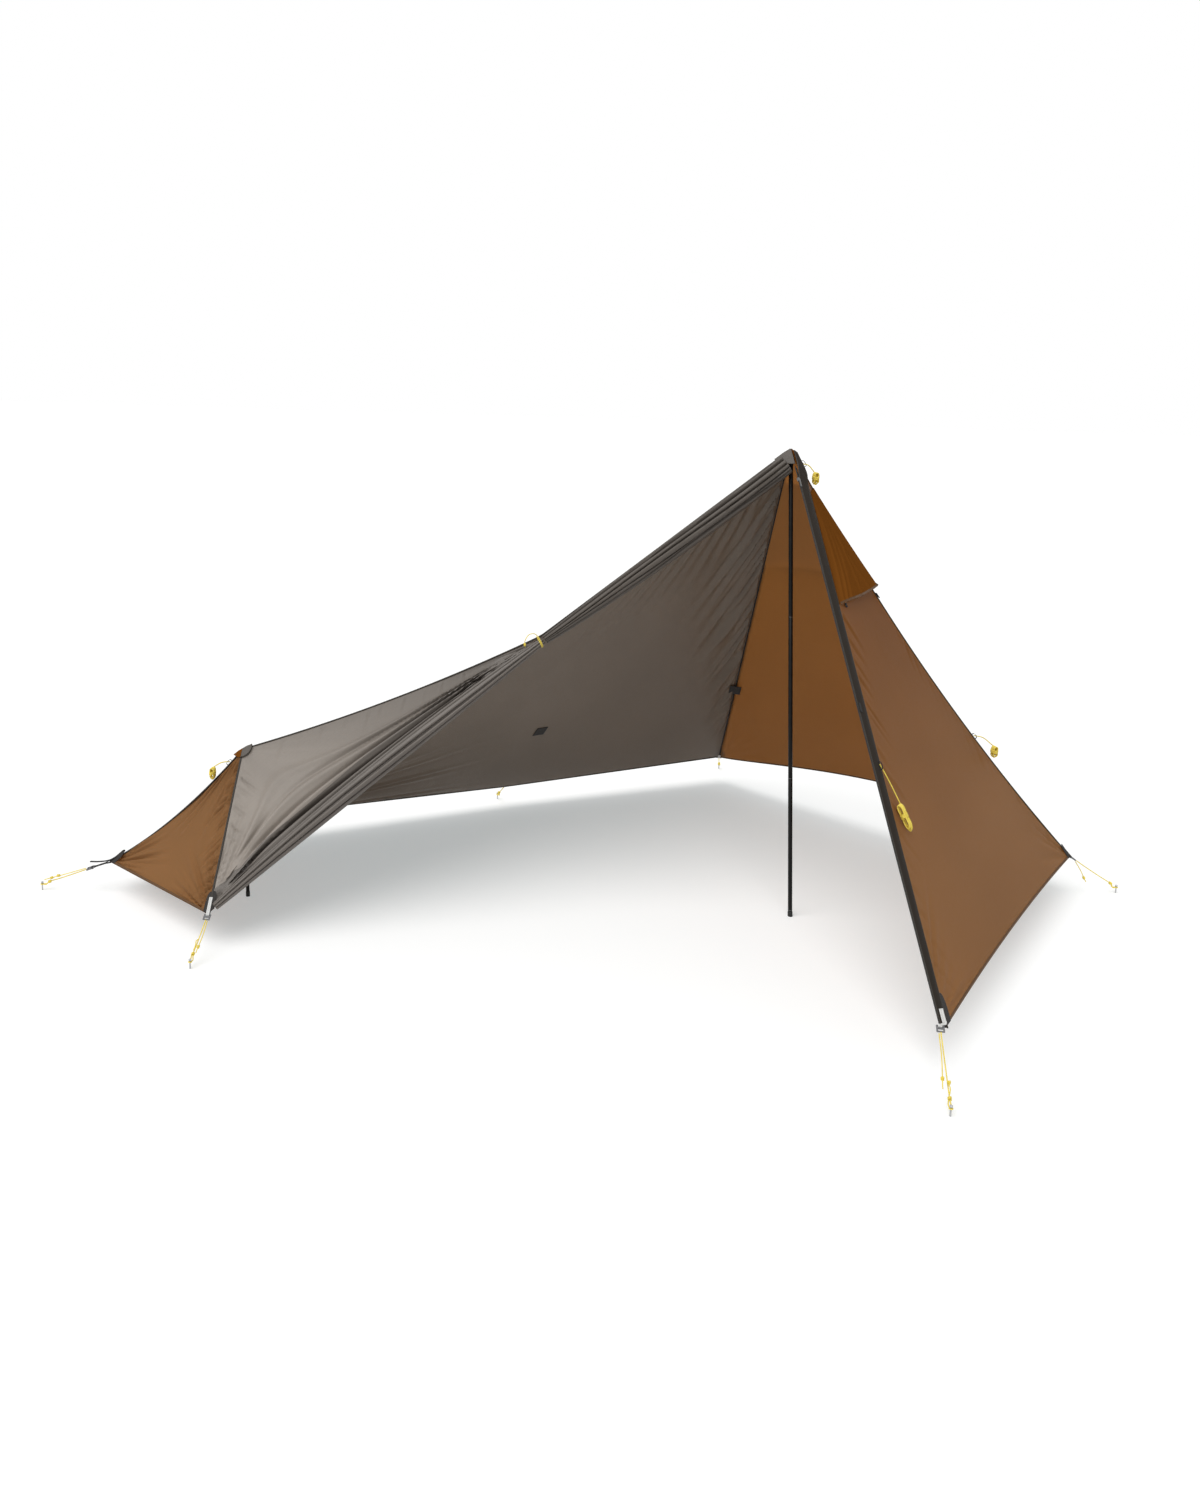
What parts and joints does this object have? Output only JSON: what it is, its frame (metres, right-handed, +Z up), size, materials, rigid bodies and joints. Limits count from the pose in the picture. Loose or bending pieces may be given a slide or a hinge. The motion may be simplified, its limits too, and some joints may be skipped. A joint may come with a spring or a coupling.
{
  "type": "tent",
  "caption": "Pitched ultralight two-pole tarp shelter with a six-cornered plan, door rolled back and tied, yellow guy cords and aluminium pegs.",
  "frame": {"origin": "on the ground under the middle of the pitched shelter, pegs included", "axes": "+X along the ridge towards the head end, +Y away from the door side, +Z up"},
  "size_m": [3.1348, 2.2594, 1.299],
  "materials": {
    "grey_brown_fabric": "thin coated ripstop, slightly sheer",
    "brown_fabric": "thin coated ripstop, slightly sheer",
    "seam_tape": "matt",
    "vent_net": "fine black mesh",
    "zip_flap_fabric": "matt",
    "zip_plastic": "matt",
    "zip_metal": "dark",
    "pole_black": "black anodised",
    "black_rubber": "matt",
    "black_elastic": "matt",
    "grey_plastic": "satin",
    "grey_aluminium": "satin",
    "yellow_cord": "braided cord"
  },
  "bodies": {
    "canopy": {"cord_foot_far": "yellow_cord", "cord_foot_near": "yellow_cord", "cord_foot_tip": "yellow_cord", "cord_head_far": "yellow_cord", "cord_head_near": "yellow_cord", "cord_head_tip": "yellow_cord", "cord_wall": "yellow_cord", "door_gather": "grey_brown_fabric", "door_roll": "grey_brown_fabric", "door_tie": "yellow_cord", "foot_panel_far": "brown_fabric", "foot_panel_near": "brown_fabric", "foot_peak_cap": "brown_fabric", "foot_pole_cup": "black_rubber", "foot_ridge_seam": "seam_tape", "foot_seam_far": "seam_tape", "foot_seam_near": "seam_tape", "hank_door_edge": "yellow_cord", "hank_foot_peak": "yellow_cord", "hank_head_ridge": "yellow_cord", "hank_main_peak": "yellow_cord", "hank_wall_far": "yellow_cord", "head_panel_far": "brown_fabric", "head_panel_near": "brown_fabric", "head_ridge_seam": "seam_tape", "line_lock_foot_far": "grey_plastic", "line_lock_foot_near": "grey_plastic", "line_lock_foot_tip": "grey_plastic", "line_lock_head_far": "grey_plastic", "line_lock_head_near": "grey_plastic", "line_lock_head_tip": "grey_plastic", "main_peak_cap": "brown_fabric", "main_pole_cup": "black_rubber", "ridge_seam": "seam_tape", "strap_foot_tip": "seam_tape", "vent_net": "vent_net", "wall_far": "grey_brown_fabric", "wall_near_foot": "grey_brown_fabric", "zip_chain_far": "zip_plastic", "zip_chain_near": "zip_plastic", "zip_flap_near": "zip_flap_fabric"},
    "vent_hood_body": {"vent_hood": "brown_fabric"},
    "vent_strut_body": {"vent_strut": "grey_plastic"},
    "zip_slider_near_body": {"zip_slider_near": "zip_metal"},
    "zip_slider_far_body": {"zip_slider_far": "zip_metal"},
    "main_pole_top": {"main_pole_tip": "black_rubber", "main_pole_upper": "pole_black", "main_pole_shock_cord": "black_elastic"},
    "main_pole_mid": {"main_pole_middle": "pole_black"},
    "main_pole_low": {"main_pole_lower": "pole_black", "main_pole_foot": "black_rubber"},
    "foot_pole_body": {"foot_pole": "pole_black", "foot_pole_foot": "black_rubber"},
    "peg_foot_far_body": {"peg_foot_far": "grey_aluminium"},
    "peg_foot_near_body": {"peg_foot_near": "grey_aluminium"},
    "peg_foot_tip_body": {"peg_foot_tip": "grey_aluminium"},
    "peg_head_far_body": {"peg_head_far": "grey_aluminium"},
    "peg_head_near_body": {"peg_head_near": "grey_aluminium"},
    "peg_head_tip_body": {"peg_head_tip": "grey_aluminium"},
    "peg_wall_body": {"peg_wall": "grey_aluminium"}
  },
  "joints": [
    {"name": "main_pole_swing", "type": "hinge", "parent": "canopy", "child": "main_pole_top", "pos_m": [0.48103, -0.00384, 1.2595], "axis": [-1, 0, 0], "range_deg": [0, 36]},
    {"name": "main_pole_middle_pull", "type": "slide", "parent": "main_pole_top", "child": "main_pole_mid", "axis": [0.0346, -0.1292, -0.991], "range_m": [0, 0.05]},
    {"name": "main_pole_lower_pull", "type": "slide", "parent": "main_pole_mid", "child": "main_pole_low", "axis": [0.0346, -0.1292, -0.991], "range_m": [0, 0.05]},
    {"name": "foot_pole_swing", "type": "hinge", "parent": "canopy", "child": "foot_pole_body", "pos_m": [-1.0059, -0.00241, 0.39015], "axis": [0, -1, 0], "range_deg": [0, 50]},
    {"name": "vent_hood_swing", "type": "hinge", "parent": "canopy", "child": "vent_hood_body", "pos_m": [0.55014, 0.0003, 1.18317], "axis": [0, 1, 0], "range_deg": [0, 2.3]},
    {"name": "vent_strut_fold", "type": "hinge", "parent": "canopy", "child": "vent_strut_body", "pos_m": [0.60682, -0.18215, 0.92401], "axis": [-0.5579, -0.8299, -0.0002], "range_deg": [0, 33.5]},
    {"name": "zip_slider_near_run", "type": "slide", "parent": "canopy", "child": "zip_slider_near_body", "axis": [0.0932, -0.6241, -0.7757], "range_m": [0, 1.385]},
    {"name": "zip_slider_far_run", "type": "slide", "parent": "canopy", "child": "zip_slider_far_body", "axis": [-0.0672, -0.6272, 0.776], "range_m": [0, 1.36]},
    {"name": "peg_foot_far_pull", "type": "slide", "parent": "canopy", "child": "peg_foot_far_body", "axis": [0, 0, 1], "range_m": [0, 0.12]},
    {"name": "peg_foot_near_pull", "type": "slide", "parent": "canopy", "child": "peg_foot_near_body", "axis": [0, 0, 1], "range_m": [0, 0.12]},
    {"name": "peg_foot_tip_pull", "type": "slide", "parent": "canopy", "child": "peg_foot_tip_body", "axis": [0, 0, 1], "range_m": [0, 0.12]},
    {"name": "peg_head_far_pull", "type": "slide", "parent": "canopy", "child": "peg_head_far_body", "axis": [0, 0, 1], "range_m": [0, 0.12]},
    {"name": "peg_head_near_pull", "type": "slide", "parent": "canopy", "child": "peg_head_near_body", "axis": [0, 0, 1], "range_m": [0, 0.12]},
    {"name": "peg_head_tip_pull", "type": "slide", "parent": "canopy", "child": "peg_head_tip_body", "axis": [0, 0, 1], "range_m": [0, 0.12]},
    {"name": "peg_wall_pull", "type": "slide", "parent": "canopy", "child": "peg_wall_body", "axis": [0, 0, 1], "range_m": [0, 0.12]}
  ],
  "couplings": [
    {"joint": "vent_strut_fold", "follows": "vent_hood_swing", "ratio": 14}
  ]
}
